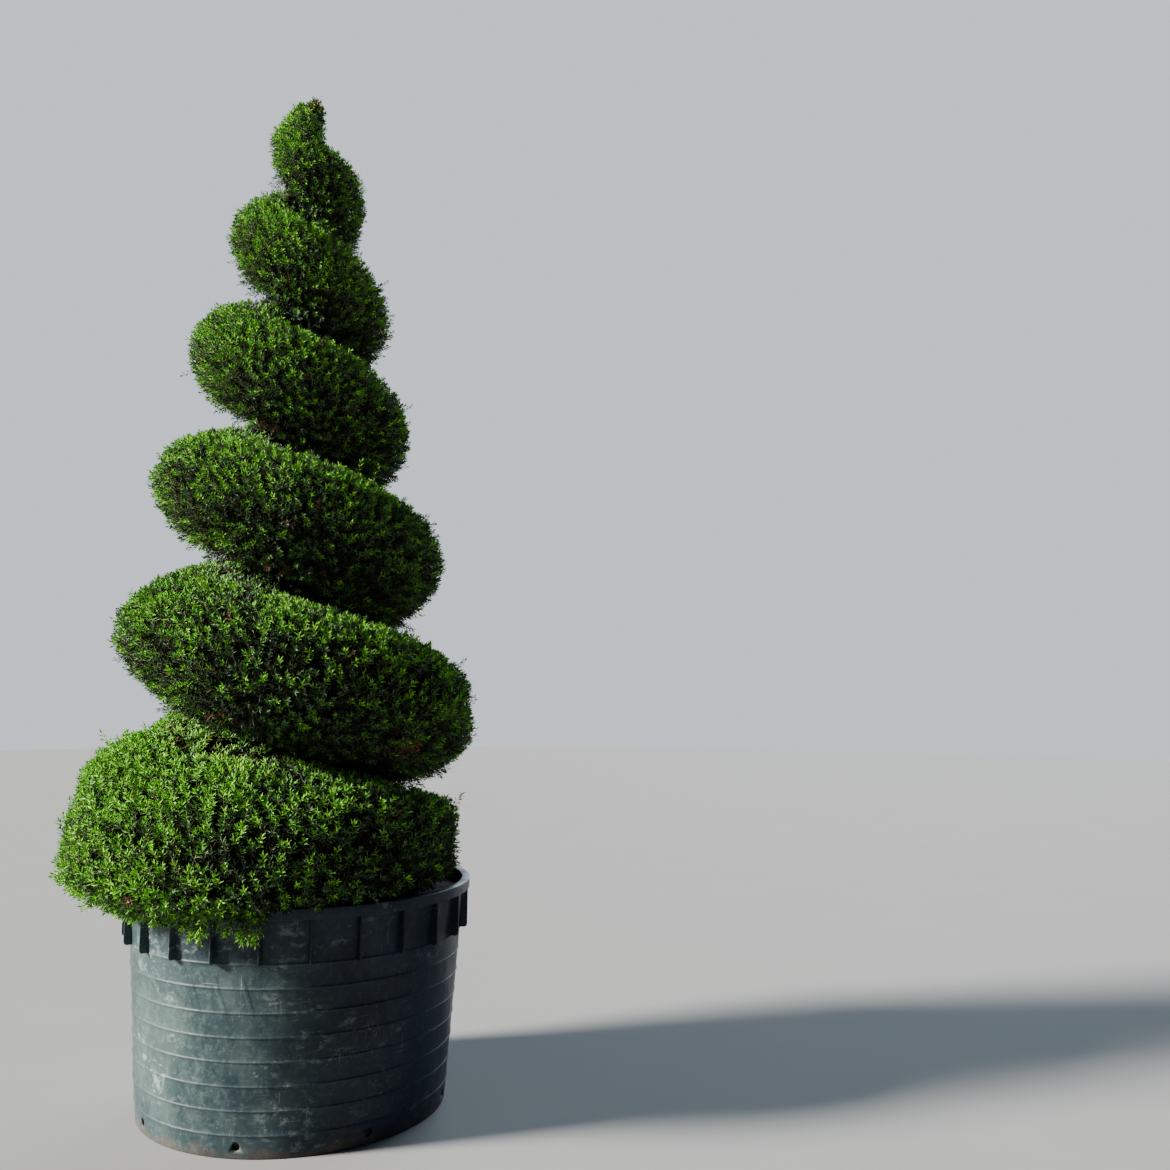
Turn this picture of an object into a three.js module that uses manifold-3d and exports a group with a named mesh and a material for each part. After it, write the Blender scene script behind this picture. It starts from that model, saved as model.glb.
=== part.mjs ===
// A yew clipped into a tall spiral, growing in a round black nursery tub.
// Millimetres, +Z up. The origin is the middle of the tub's flat underside, and the tub is level.
// Seen from the front (along +Y) the spiral's band comes down from left to right.

import * as THREE from 'three';
import { mergeVertices } from 'three/addons/utils/BufferGeometryUtils.js';
import Module from 'manifold-3d';

const wasm = await Module();
wasm.setup();

const { PI, abs, atan2, cos, exp, hypot, max, min, round, sign, sin } = Math;
const { degToRad, smoothstep } = THREE.MathUtils;

// Touching pieces keep this gap.
const clear = 0.35;

// Tub: a tapered wall with fine hoops, a flange whose lip hangs down, and gussets under the flange.
const tub = { height: 890, baseRadius: 611, taper: 0.073, wall: 10, floor: 12, sides: 40 };
const lip = { radius: 700, drop: 41, thickness: 8 };
const hoops = { count: 8, highest: 687, pitch: 86.3, proud: 3, rise: 7 };
const gusset = { count: 24, thickness: 6, firstAt: degToRad(2.2), sunk: 4 };
const drain = { count: 8, radius: 15, height: 45, firstAt: degToRad(-95), sides: 8 };
const soil = { top: 850 };

// Trunk: it wanders a little from side to side as it rises, and flares where it meets the soil.
const trunk = { foot: soil.top + clear, tip: 4140, radius: 58, tipRadius: 7, flare: 34, flareHeight: 75 };
const trunkMesh = { sides: 8, steps: 14, crowding: 1.6 };
const wander = { x: -86, swing: 20, at: 3100, wave: 2700 };

// Spiral: one clipped band, measured by the turns from the tip. Whole turns face left (-X).
// Its reach grows with the turns, and the fourth turn sags full on the right, where it has settled.
const spiral = { from: -0.75, to: 6.05, offset: 0.02, tip: 4331 };
const reach = { atStart: 168, perTurn: 136, sharpen: 84, least: 53 };
const thinnest = 16;
const groove = { top: 4360, fall: 453, quicken: 19.6, open: 0.02, margin: 2 };
const roundness = { side: 3.2, upper: 2.05, lower: 1.65 };
const settled = { from: 4.1, full: 4.4, until: 4.6, to: 4.75, extra: 2.2 };
const flame = { radius: 160, height: 200, power: 0.6 };
const foot = { at: 5.3, blend: 0.3, radius: 720, roundness: 4.6 };
const overhang = { from: 4.75, full: 5.05, drop: 210, skirt: 40 };
const seamAt = 0.75;
const coreMesh = { sides: 10, stepsPerTurn: 18 };

// Foliage: the core lies this deep under the clipped outline, and short twigs stand out of it.
const inset = { side: 40, face: 14, top: 48 };
const twig = { spacing: 245, sunk: 22, out: 40, radius: 12, forksAt: 8, riseRange: 2.7, tries: 3000 };
const leaf = { length: 92, width: 30, thickness: 7, perTwig: 3, lean: degToRad(66) };
const leader = { rootRadius: 34, tipRadius: 8, sides: 6, leaf: 50 };

const wallRadius = (z) => tub.baseRadius + tub.taper * z;
const axisX = (z) => wander.x - wander.swing * cos(2 * PI * (z - wander.at) / wander.wave);
const grooveZ = (turn) => groove.top - groove.fall * turn - groove.quicken * turn ** 2;
const turnAngle = (turn) => PI + 2 * PI * (turn + spiral.offset);

// Random numbers from a seed, the same in every run.
function randomFrom(seed) {
  let state = seed;
  return () => {
    state = (state + 0x6d2b79f5) | 0;
    let mixed = Math.imul(state ^ (state >>> 15), 1 | state);
    mixed = (mixed + Math.imul(mixed ^ (mixed >>> 7), 61 | mixed)) ^ mixed;
    return ((mixed ^ (mixed >>> 14)) >>> 0) / 4294967296;
  };
}

// Turns a closed geometry into a solid that can be joined and cut.
function solid(geometry) {
  geometry.deleteAttribute('normal');
  geometry.deleteAttribute('uv');
  const merged = mergeVertices(geometry);
  const corners = Array.from(merged.index.array);
  const kept = [];
  for (let i = 0; i < corners.length; i += 3) {
    const [a, b, c] = corners.slice(i, i + 3);
    if (a !== b && b !== c && c !== a) kept.push(a, b, c);
  }
  return new wasm.Manifold(new wasm.Mesh({
    numProp: 3,
    vertProperties: Float32Array.from(merged.getAttribute('position').array),
    triVerts: Uint32Array.from(kept),
  }));
}

// Keeps the largest body of a solid, without the loose scraps that cutting leaves.
function largest(body) {
  return body.decompose().reduce((best, piece) => (piece.volume() > best.volume() ? piece : best));
}

function mesh(name, body, colour, roughness) {
  const { vertProperties, triVerts } = body.getMesh();
  const geometry = new THREE.BufferGeometry();
  geometry.setAttribute('position', new THREE.BufferAttribute(Float32Array.from(vertProperties), 3));
  geometry.setIndex(new THREE.BufferAttribute(Uint32Array.from(triVerts), 1));
  geometry.computeVertexNormals();
  const material = new THREE.MeshStandardMaterial({ color: colour, roughness, metalness: 0 });
  const made = new THREE.Mesh(geometry, material);
  made.name = name;
  return made;
}

// Turns an outline of [radius, height] points about the Z axis.
function turned(outline, sides) {
  const points = outline.map(([radius, z]) => new THREE.Vector2(radius, z));
  return new THREE.LatheGeometry(points, sides).rotateX(PI / 2);
}

function makeTub() {
  const hoopPoints = [];
  for (let k = hoops.count - 1; k >= 0; k--) {
    const z = hoops.highest - k * hoops.pitch;
    hoopPoints.push([wallRadius(z - hoops.rise), z - hoops.rise], [wallRadius(z) + hoops.proud, z]);
  }
  const flangeUnder = tub.height - lip.thickness;
  const lipInside = lip.radius - lip.thickness;
  const lipEnd = tub.height - lip.drop;
  const shell = solid(turned([
    [0, 0],
    [tub.baseRadius, 0],
    ...hoopPoints,
    [wallRadius(flangeUnder), flangeUnder],
    [lipInside, flangeUnder],
    [lipInside, lipEnd],
    [lip.radius, lipEnd],
    [lip.radius, tub.height],
    [wallRadius(tub.height) - tub.wall, tub.height],
    [wallRadius(tub.floor) - tub.wall, tub.floor],
    [0, tub.floor],
  ], tub.sides));
  let body = shell;
  for (let k = 0; k < gusset.count; k++) {
    body = body.add(makeGusset(gusset.firstAt + 2 * PI * k / gusset.count, flangeUnder, lipInside));
  }
  for (let k = 0; k < drain.count; k++) {
    body = body.subtract(makeDrainHole(drain.firstAt + 2 * PI * k / drain.count));
  }
  return body;
}

// A thin upright plate from the wall to the lip, its foot level with the highest hoop.
function makeGusset(angle, flangeUnder, lipInside) {
  const low = hoops.highest;
  const high = flangeUnder + gusset.sunk;
  const outer = lipInside + gusset.sunk / 2;
  const plate = new THREE.Shape([
    new THREE.Vector2(wallRadius(low) - gusset.sunk, low),
    new THREE.Vector2(outer, low),
    new THREE.Vector2(outer, high),
    new THREE.Vector2(wallRadius(high) - gusset.sunk, high),
  ]);
  const geometry = new THREE.ExtrudeGeometry(plate, { depth: gusset.thickness, bevelEnabled: false });
  return solid(geometry.translate(0, 0, -gusset.thickness / 2).rotateX(PI / 2).rotateZ(angle));
}

function makeDrainHole(angle) {
  const bit = new THREE.CylinderGeometry(drain.radius, drain.radius, 6 * tub.wall, drain.sides);
  return solid(bit.rotateZ(PI / 2).translate(tub.baseRadius, 0, drain.height).rotateZ(angle));
}

// The growing medium fills the tub to a flat top, clear of the wall and floor.
function makeSoil() {
  const low = tub.floor + clear;
  const gap = tub.wall + 1.2 * clear;
  return solid(turned([
    [0, low],
    [wallRadius(low) - gap, low],
    [wallRadius(soil.top) - gap, soil.top],
    [0, soil.top],
  ], tub.sides));
}

function trunkRadius(z) {
  const share = max(0, (trunk.tip - z) / (trunk.tip - trunk.foot));
  return trunk.tipRadius + (trunk.radius - trunk.tipRadius) * share ** 0.9
    + trunk.flare * exp(-(z - trunk.foot) / trunk.flareHeight);
}

// The trunk, or the room that a mass of foliage leaves round it.
function makeTrunk(room) {
  const low = trunk.foot - room;
  const outline = [[0, low], [trunkRadius(trunk.foot) + room, low]];
  for (let i = 1; i <= trunkMesh.steps; i++) {
    const share = (i / trunkMesh.steps) ** trunkMesh.crowding;
    const z = trunk.foot + (trunk.tip - trunk.foot) * share;
    outline.push([trunkRadius(z) + room, z]);
  }
  outline.push([0, trunk.tip + room]);
  const geometry = turned(outline, trunkMesh.sides);
  const spot = geometry.getAttribute('position');
  for (let i = 0; i < spot.count; i++) spot.setX(i, spot.getX(i) + axisX(spot.getZ(i)));
  return solid(geometry);
}

// The shape of the core's cross-section after so many turns, drawn in from the clipped outline.
function section(turn) {
  const pitch = grooveZ(turn) - grooveZ(turn + 1);
  const footShare = smoothstep(turn, foot.at - foot.blend, foot.at + foot.blend);
  const hangShare = smoothstep(turn, overhang.from, overhang.full) * (1 - footShare);
  const top = min(grooveZ(turn) - groove.open * pitch, spiral.tip) - inset.face;
  const bottom = max(grooveZ(turn + 1) + groove.open * pitch + inset.face, soil.top + clear);
  const settledShare = smoothstep(turn, settled.from, settled.full)
    * (1 - smoothstep(turn, settled.until, settled.to));
  const grown = max(reach.atStart + reach.perTurn * turn + reach.sharpen * min(turn, 0), reach.least)
    + overhang.skirt * smoothstep(turn, overhang.from, overhang.full);
  const blend = (from, to) => from + (to - from) * footShare;
  return {
    radius: blend(grown, foot.radius) - inset.side,
    middle: (top + bottom) / 2,
    half: max(top - bottom, thinnest) / 2,
    side: blend(roundness.side, foot.roundness),
    upper: blend(roundness.upper, foot.roundness),
    lower: blend(roundness.lower + settled.extra * settledShare, foot.roundness),
    hang: overhang.drop * hangShare,
  };
}

// A point of the core: rise runs from -90 degrees at the inner bottom to 90 at the inner top.
// The inner wall lies within the trunk, whose room is cut out afterwards.
const holeShare = 0.6;
function corePoint(shape, turn, rise) {
  const lift = abs(sin(rise)) ** (2 / (rise > 0 ? shape.upper : shape.lower)) * sign(rise);
  const z = shape.middle + shape.half * lift - shape.hang * (1 - lift ** 2);
  const under = max(0, spiral.tip - inset.top - z) / flame.height;
  const inner = holeShare * trunkRadius(z);
  const full = inner + (shape.radius - inner) * max(0, cos(rise)) ** (2 / shape.side);
  const radius = max(inner, min(full, flame.radius * under ** flame.power));
  const angle = turnAngle(turn);
  return new THREE.Vector3(axisX(z) + radius * cos(angle), radius * sin(angle), z);
}

// A stretch of the core: a closed cylinder bent along the spiral, its ends drawn in by endGap.
function makeCore(from, to, endGap) {
  const steps = max(1, round((to - from) * coreMesh.stepsPerTurn));
  const geometry = new THREE.CylinderGeometry(1, 1, 1, coreMesh.sides, steps, false, PI / coreMesh.sides);
  const spot = geometry.getAttribute('position');
  for (let i = 0; i < spot.count; i++) {
    const step = round((0.5 - spot.getY(i)) * steps);
    const side = round(atan2(spot.getX(i), spot.getZ(i)) * coreMesh.sides / PI);
    const turn = from + (to - from) * step / steps;
    const shape = section(turn);
    const onRim = hypot(spot.getX(i), spot.getZ(i)) > 0.5;
    const rise = side * (PI / 2) / (coreMesh.sides - 1);
    const place = onRim
      ? corePoint(shape, turn, rise)
      : corePoint(shape, turn, PI / 2).add(corePoint(shape, turn, 0)).add(corePoint(shape, turn, -PI / 2))
        .multiplyScalar(1 / 3);
    const along = step === 0 ? endGap[0] : step === steps ? -endGap[1] : 0;
    const angle = turnAngle(turn);
    spot.setXYZ(i, place.x - along * sin(angle), place.y + along * cos(angle), place.z);
  }
  return solid(geometry);
}

// Room for the soil and the tub's rim, which the lowest foliage rests on and hangs over.
const tubRoom = { inner: 655, outer: 706, low: 600, rim: tub.height + clear, soil: soil.top + clear };
function makeTubRoom() {
  const { inner, outer, low, rim } = tubRoom;
  return solid(turned([
    [0, low], [outer, low], [outer, rim], [inner, rim], [inner, tubRoom.soil], [0, tubRoom.soil],
  ], tub.sides));
}

// True where a point near the given turn lies in its mass's own space, clear of tub and neighbours.
function inOwnSpace(point, near, mass) {
  const dx = point.x - axisX(point.z);
  const radius = hypot(dx, point.y);
  const bare = atan2(point.y, dx) / (2 * PI) - 0.5 - spiral.offset;
  const turn = bare + round(near - bare);
  const seamRoom = groove.margin / (2 * PI * radius);
  if (turn < mass.from + seamRoom || turn > mass.to - seamRoom) return false;
  if (point.z > min(grooveZ(turn) - groove.margin, spiral.tip)) return false;
  const fromTub = hypot(point.x, point.y);
  const overRim = fromTub > tubRoom.inner - groove.margin && fromTub < tubRoom.outer + groove.margin;
  if (point.z < tubRoom.rim + groove.margin && overRim) return false;
  if (point.z < soil.top + groove.margin && fromTub < tubRoom.outer) return false;
  if (turn > overhang.from) return true;
  return point.z > grooveZ(turn + 1) + groove.margin && radius > trunkRadius(point.z) + groove.margin;
}

// Sets a shape that lies along X from the origin on a root, pointing one way with its face another.
function placed(geometry, root, along, face) {
  const side = new THREE.Vector3().crossVectors(face, along).normalize();
  const up = new THREE.Vector3().crossVectors(along, side);
  return geometry.applyMatrix4(new THREE.Matrix4().makeBasis(along, side, up).setPosition(root));
}

// A leaf stands for a spray of needles: a thin kite with a keel on both faces.
function makeLeaf(root, along, face, length) {
  const blade = new THREE.OctahedronGeometry(1).scale(length / 2, leaf.width / 2, leaf.thickness / 2);
  return placed(blade.translate(length / 2, 0, 0), root, along, face);
}

// A three-sided twig that tapers to a point.
function makeTwig(root, along, face) {
  const length = twig.sunk + twig.out;
  const spike = new THREE.ConeGeometry(twig.radius, length, 3);
  return placed(spike.translate(0, length / 2, 0).rotateZ(-PI / 2), root, along, face);
}

// Every corner of the piece lies in the mass's own space.
function fits(geometry, near, mass) {
  const spot = geometry.getAttribute('position');
  const point = new THREE.Vector3();
  for (let i = 0; i < spot.count; i++) {
    if (!inOwnSpace(point.fromBufferAttribute(spot, i), near, mass)) return false;
  }
  return true;
}

// One twig at a place on the core, with leaves that lean out round it.
function growTwig(mass, turn, base, outward, acrossBand, random) {
  const jitter = () => (random() - 0.5) * 0.5;
  const along = outward.clone().addScaledVector(acrossBand, jitter());
  along.addScaledVector(new THREE.Vector3().crossVectors(outward, acrossBand), jitter()).normalize();
  const face = new THREE.Vector3().crossVectors(along, acrossBand).normalize();
  const fork = base.clone().addScaledVector(along, twig.forksAt);
  const spin = random() * 2 * PI;
  const leaves = [];
  for (let k = 0; k < leaf.perTwig; k++) {
    const about = face.clone().applyAxisAngle(along, spin + 2 * PI * k / leaf.perTwig + jitter());
    const way = along.clone().multiplyScalar(cos(leaf.lean)).addScaledVector(about, sin(leaf.lean));
    const blade = makeLeaf(fork, way.normalize(), along, leaf.length * (0.85 + 0.3 * random()));
    if (fits(blade, turn, mass)) leaves.push(solid(blade));
  }
  const spike = makeTwig(base.clone().addScaledVector(along, -twig.sunk), along, face);
  if (leaves.length > 0 && fits(spike, turn, mass)) leaves.push(solid(spike));
  else leaves.length = 0;
  return leaves;
}

// Twigs dealt evenly over the outside of a mass by darts that keep their distance.
function growTwigs(mass, random) {
  const rooted = [];
  const pieces = [];
  for (let i = 0; i < twig.tries; i++) {
    const turn = mass.from + (mass.to - mass.from) * random();
    const rise = (random() - 0.5) * twig.riseRange;
    const shape = section(turn);
    const base = corePoint(shape, turn, rise);
    if (rooted.some((other) => other.distanceTo(base) < twig.spacing)) continue;
    const nudge = 0.02;
    const next = corePoint(section(turn + nudge), turn + nudge, rise);
    const above = corePoint(shape, turn, rise + nudge);
    const acrossBand = above.sub(base).normalize();
    const outward = next.sub(base).cross(acrossBand).normalize();
    const grown = growTwig(mass, turn, base, outward, acrossBand, random);
    if (grown.length === 0) continue;
    rooted.push(base);
    pieces.push(...grown);
  }
  return pieces;
}

// The leader: the mass at the top closes over the trunk's tip and ends in upright leaves.
function makeLeader() {
  const low = trunk.tip + clear;
  const high = spiral.tip - leader.leaf;
  const cone = new THREE.CylinderGeometry(leader.tipRadius, leader.rootRadius, high - low, leader.sides);
  const core = solid(cone.rotateX(PI / 2).translate(axisX(low), 0, (low + high) / 2));
  const root = new THREE.Vector3(axisX(low), 0, high - leader.tipRadius);
  const up = new THREE.Vector3(0, 0, 1);
  const front = new THREE.Vector3(0, -1, 0);
  return core.add(solid(makeLeaf(root, up, front, spiral.tip - root.z)));
}

// A mass of foliage: the core and its twigs, fused, and cut clear of trunk and rim.
function makeMass(mass, seed) {
  const isFoot = mass.to === spiral.to;
  const isTip = mass.from === spiral.from;
  const middle = (mass.from + mass.to) / 2;
  let body = isFoot
    ? makeCore(mass.from, middle, [clear, 0]).add(makeCore(middle, mass.to, [0, clear]))
    : makeCore(mass.from, mass.to, [isTip ? 0 : clear, clear]);
  if (isTip) body = body.add(makeLeader());
  for (const piece of growTwigs(mass, randomFrom(seed))) body = body.add(piece);
  body = body.subtract(makeTrunk(clear / cos(PI / trunkMesh.sides)));
  if (isFoot) body = body.subtract(makeTubRoom());
  return largest(body);
}

// One mass for each turn of the spiral, with the seams between them at the back.
function listMasses() {
  const masses = [{ name: 'foliage_tip', from: spiral.from, to: seamAt, colour: 0x3f5a22 }];
  for (let k = 1; k <= 4; k++) {
    masses.push({ name: `foliage_turn_${k}`, from: k - 1 + seamAt, to: k + seamAt, colour: 0x32491f });
  }
  masses.push({ name: 'foliage_foot', from: 4 + seamAt, to: spiral.to, colour: 0x6c8a2c });
  return masses;
}

const topiary = new THREE.Group();
topiary.add(mesh('pot', makeTub(), 0x2c3534, 0.55));
topiary.add(mesh('soil', makeSoil(), 0x33261b, 0.95));
topiary.add(mesh('trunk', makeTrunk(0), 0x6a4a38, 0.9));
listMasses().forEach((mass, index) => {
  topiary.add(mesh(mass.name, makeMass(mass, 11 + index), mass.colour, 0.7));
});

export default topiary;
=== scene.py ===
from collections import namedtuple
from math import cos, pi, radians, sin
from types import SimpleNamespace as Named

import bpy
import numpy as np
from mathutils import Matrix, Vector


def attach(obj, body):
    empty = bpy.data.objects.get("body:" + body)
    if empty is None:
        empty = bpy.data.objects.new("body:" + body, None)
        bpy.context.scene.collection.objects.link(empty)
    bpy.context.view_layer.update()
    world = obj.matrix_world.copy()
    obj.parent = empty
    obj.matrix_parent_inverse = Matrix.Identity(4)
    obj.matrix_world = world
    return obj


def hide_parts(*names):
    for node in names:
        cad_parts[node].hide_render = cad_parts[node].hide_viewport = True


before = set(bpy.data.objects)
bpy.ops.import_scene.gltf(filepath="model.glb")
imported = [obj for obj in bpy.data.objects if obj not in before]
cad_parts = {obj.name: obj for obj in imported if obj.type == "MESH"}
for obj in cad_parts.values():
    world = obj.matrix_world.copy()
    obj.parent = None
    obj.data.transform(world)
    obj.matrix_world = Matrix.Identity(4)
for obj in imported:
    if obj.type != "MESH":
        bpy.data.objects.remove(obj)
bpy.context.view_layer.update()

FULL = 2 * pi
GOLDEN_ANGLE = pi * (3 - 5 ** 0.5)
UP = np.array([0, 0, 1.0])

# Tub: a tapered wall with fine hoops, a flange whose lip hangs down, and gussets under the flange.
TUB = Named(height=0.89, base=0.611, mean=0.65, taper=0.073, wall=0.01, floor=0.012, sides=180)
LIP = Named(radius=0.7, drop=0.041, thickness=0.008)
LIP_UNDER = TUB.height - LIP.thickness
LIP_INSIDE = LIP.radius - LIP.thickness
HOOP = Named(count=8, highest=0.687, pitch=0.0863, proud=0.0032, width=0.0042)
GUSSET = Named(count=24, thickness=0.006, first=radians(2.2), sunk=0.004)
DRAIN = Named(count=8, radius=0.015, height=0.045, first=radians(-95), sides=20, bit=0.05)
CREASE = Named(slant=0.34, middle=0.073, pitch=0.103, bottom=(0.5, 0.54), top=(0.63, 0.66))
SOIL_TOP = 0.85
SOIL = Named(gap=0.0008, inset=0.003, lump=0.006, rings=56, sides=120)
TOUCH = 0.00035

# Trunk: it wanders a little as it rises, and flares where it meets the soil.
TRUNK = Named(foot=SOIL_TOP + TOUCH, tip=4.14, radius=0.058, tip_radius=0.007, sides=56, steps=230)
FLARE = Named(radius=0.034, height=0.075)
WANDER = Named(x=-0.086, swing=0.02, at=3.1, wave=2.7)

# Spiral: one clipped band, measured by the turns from the tip. Whole turns face left (-X).
SPIRAL = Named(start=-0.75, end=6.05, offset=0.02, tip=4.331)
REACH = Named(start=0.168, per_turn=0.136, sharpen=0.084, least=0.053)
GROOVE = Named(top=4.36, fall=0.453, quicken=0.0196, open=0.02)
# Cut by hand, the groove and the reach stray this much from their even run at these turns.
GROOVE_STRAY = (
    (0.5, 1.0, 1.5, 2.0, 2.5, 3.0, 3.5, 4.7, 5.0, 5.13, 5.3),
    (0.0, 0.012, -0.085, 0.028, -0.046, 0.008, 0.0, 0.0, 0.015, -0.04, 0.0),
)
REACH_STRAY = ((0.0, 0.5, 1.0, 1.5, 2.0), (0.0, 0.036, 0.0, 0.034, 0.0))
# The band's section is a superellipse of these powers. It is squarer where the lowest turn settles on the
# foot, over the foot's left shoulder and round the foot itself, which spreads out over the soil.
ROUNDNESS = Named(side=3.2, upper=2.05, lower=1.65)
SETTLED = Named(turns=(4.1, 4.4, 4.6, 4.75), extra=2.2)
SHOULDER = Named(turns=(4.8, 5.02), extra=0.9)
FOOT = Named(at=5.3, blend=0.3, radius=0.72, roundness=4.6)
# The tip stays inside a flame shape, with a waist cut into its right side.
FLAME = Named(radius=0.16, height=0.2, power=0.6)
WAIST = Named(at=4.11, height=0.085, share=0.5)
# The band hangs down over the rim from these turns on, clear of the rim's own room.
HANG = Named(start=4.75, full=5.05, drop=0.21, skirt=0.04)
TUB_ROOM = Named(inner=0.655, outer=0.706, rim=0.8904)
# How far needles may reach past seams, the band's ends and its tip, and the room they leave elsewhere.
ROOM = Named(seam=0.012, ends=0.02, tip=0.05, groove=0.001, rim=0.002, soil=0.004, trunk=0.001)

# The masses of foliage: the turns each starts and ends at, its sprays to a square metre and their size.
Mass = namedtuple("Mass", "node start end sprays size")
MASSES = [Mass(*row) for row in (
    ("foliage_tip", -0.75, 0.75, 2500, 0.72),
    ("foliage_turn_1", 0.75, 1.75, 2250, 0.74),
    ("foliage_turn_2", 1.75, 2.75, 1950, 0.78),
    ("foliage_turn_3", 2.75, 3.75, 1600, 0.83),
    ("foliage_turn_4", 3.75, 4.75, 1400, 0.88),
    ("foliage_foot", 4.75, 6.05, 1080, 0.97),
)]

# How fresh the growth is at some turns, from 0 to 1: olive above, freshest at the foot's left. The dip round
# the foot's front right and right is painted shade.
FRESHNESS_AND_SHADE = (
    (-0.75, 0.5, 1.5, 2.5, 3.5, 4.3, 4.55, 4.9, 5.12, 5.28, 5.45, 5.75, 6.05),
    (0.66, 0.63, 0.6, 0.58, 0.58, 0.58, 0.62, 0.96, 0.93, 0.56, 0.46, 0.58, 0.72),
)

# The step clipped into the top of the foot at the left: the rises it starts at, its depth and its reach.
STEP_LINE = ((4.93, 5.0, 5.06, 5.11, 5.16, 5.21, 5.26), (0.72, 0.9, 1.07, 1.18, 1.24, 1.26, 1.25))
STEP_DEPTH = 0.032
STEP_SPAN = (4.88, 4.96, 5.2, 5.28)
STEP_FADE = (-0.03, 0.05, 0.08, 0.3)

# The inner thicket lies this deep under the clipped outline, and over the rim and soil at these heights.
THICKET = Named(side=0.088, face=0.03, top=0.07, lump=0.012, seam=0.002, on_rim=0.893, on_soil=0.853)
MESH = Named(steps_per_turn=84, across=36, inner=6)
# Sprays end short of the outline by chance, some stand out of it, and more of them on its undersides.
SPRAY = Named(groove_share=0.75, sunk=0.01, trim=0.006, short=0.023, shortest=0.062, lumpy=0.008)
STRAY = Named(share=0.1, out=(0.008, 0.024))
MISSED = Named(sunk=0.05, bare=0.2)
RAGGED = Named(share=0.26, out=(0.008, 0.048), rises=(0.4, 0.9))
LEAN = Named(root=0.01, turn=0.006, down=0.1, more=0.08)
SHOOT_RADIUS = 0.0019
NEEDLE = Named(per_spray=14, length=0.026, width=0.0068, fold=0.24, bare_share=0.52, old=6)
SPREAD = Named(first=radians(74), closing=radians(52), chance=0.13)
BRANCH = Named(per_area=26, root=0.01, tip=0.0022, short_by=(0.03, 0.012, 0.03), sides=5, steps=7)

# Needle colours from the deepest green to the freshest, and the dry ones.
TINTS = [
    ("deep", (0.007, 0.016, 0.007)),
    ("dark", (0.02, 0.041, 0.019)),
    ("olive", (0.06, 0.104, 0.046)),
    ("leafy", (0.088, 0.168, 0.054)),
    ("bright", (0.097, 0.255, 0.038)),
    ("fresh", (0.138, 0.382, 0.027)),
    ("lemon", (0.236, 0.548, 0.042)),
    ("dry", (0.21, 0.115, 0.06)),
]
DRY = len(TINTS) - 1
# What raises a spray's score, and so its colour, and what lowers it, down to a limit under its freshness.
# Facing up and left, towards the key lamp, raises it: painted light as well as fresher growth.
SCORE = Named(start=0.04, up=0.25, left=0.05, patches=0.12, chance=0.26, young=0.22)
SHADED = Named(grooves=0.12, step=0.08, sunk=13.0, sunk_from=0.016, limit=0.54)

# Patches of dry sprays and bare twigs: a turn, a rise across the band and a radius.
DRY_PATCHES = [
    (2.2, -1.15, 0.06), (3.24, -1.05, 0.055), (4.39, -0.58, 0.055), (5.17, -0.14, 0.022),
    (4.2, -0.75, 0.045), (1.62, -1.0, 0.04), (3.8, -0.95, 0.06), (2.86, -1.05, 0.05),
    (5.62, 0.4, 0.035), (-0.7, -0.1, 0.03),
]
DRY_SHARE = Named(patch=0.75, stray=0.002)
# Longer shoots that the shears missed: a turn, a rise, a length beyond the outline and an upward pull.
MISSED_SHOOTS = [
    (0.06, 1.38, 0.05, 0.9), (5.02, 0.78, 0.06, 0.5), (5.49, 0.4, 0.055, 0.6), (3.38, 0.8, 0.07, 1.6),
    (3.36, 0.86, 0.06, 1.6), (0.92, 0.55, 0.045, 0.5), (1.45, 0.3, 0.045, 0.8), (2.02, -0.35, 0.045, -0.2),
    (2.95, 0.15, 0.05, 0.1), (3.95, 0.1, 0.05, 0.2), (3.99, -0.3, 0.045, 0.0), (5.24, -0.62, 0.05, -1.2),
    (5.26, -0.58, 0.045, -1.2), (5.19, -0.3, 0.045, -0.8), (5.22, -0.45, 0.055, -1.0),
    (5.14, -0.2, 0.04, -0.5), (4.46, 0.45, 0.045, 0.8), (2.5, 0.4, 0.045, 0.7), (4.72, 0.4, 0.05, 0.6),
    (5.8, 0.55, 0.055, 0.8),
]

# Sprays that hang over the rim at the front left: an angle round the tub and how far under the rim they end.
FRINGE = Named(start=radians(-176), end=radians(-86), count=560, reach=(0.012, 0.045), drop=(-0.035, 0.085))
LONG_FRINGE = [(radians(angle), drop) for angle, drop in (
    (-89, 0.115), (-91, 0.125), (-92.5, 0.1), (-95, 0.09), (-102.5, 0.095), (-104, 0.125), (-106, 0.11),
    (-109, 0.06), (-118, 0.06), (-124, 0.05), (-128, 0.065), (-133, 0.055), (-139, 0.07), (-144, 0.06),
    (-150, 0.075), (-155, 0.06), (-160, 0.07), (-166, 0.06),
)]

# Colours on the tub: plastic in painted shade and in painted light (paler lit copies, standing also for
# sun-bleaching), each in its two tones, and what lies on it.
TUB_TONES = dict(
    shaded=((0.006, 0.011, 0.021), (0.012, 0.021, 0.036)),
    painted_light_and_bleach=((0.024, 0.045, 0.051), (0.052, 0.085, 0.081)),
    dust=(0.122, 0.168, 0.154),
    mottle=(0.17, 0.222, 0.205),
    smear=(0.33, 0.39, 0.385),
    fleck=(0.3, 0.33, 0.32),
    wear_and_highlight=(0.13, 0.155, 0.16),
    scratch=(0.28, 0.31, 0.31),
    dirt=(0.115, 0.082, 0.056),
)

# The camera's place and angles, and its focal length in pixels of a picture of that width.
CAMERA = Named(place=(1.17686, -4.71942, 1.664), pitch=0.0988, roll=0.0085, focal=1100.5, picture=1170)
SENSOR_WIDTH = 36


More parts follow.
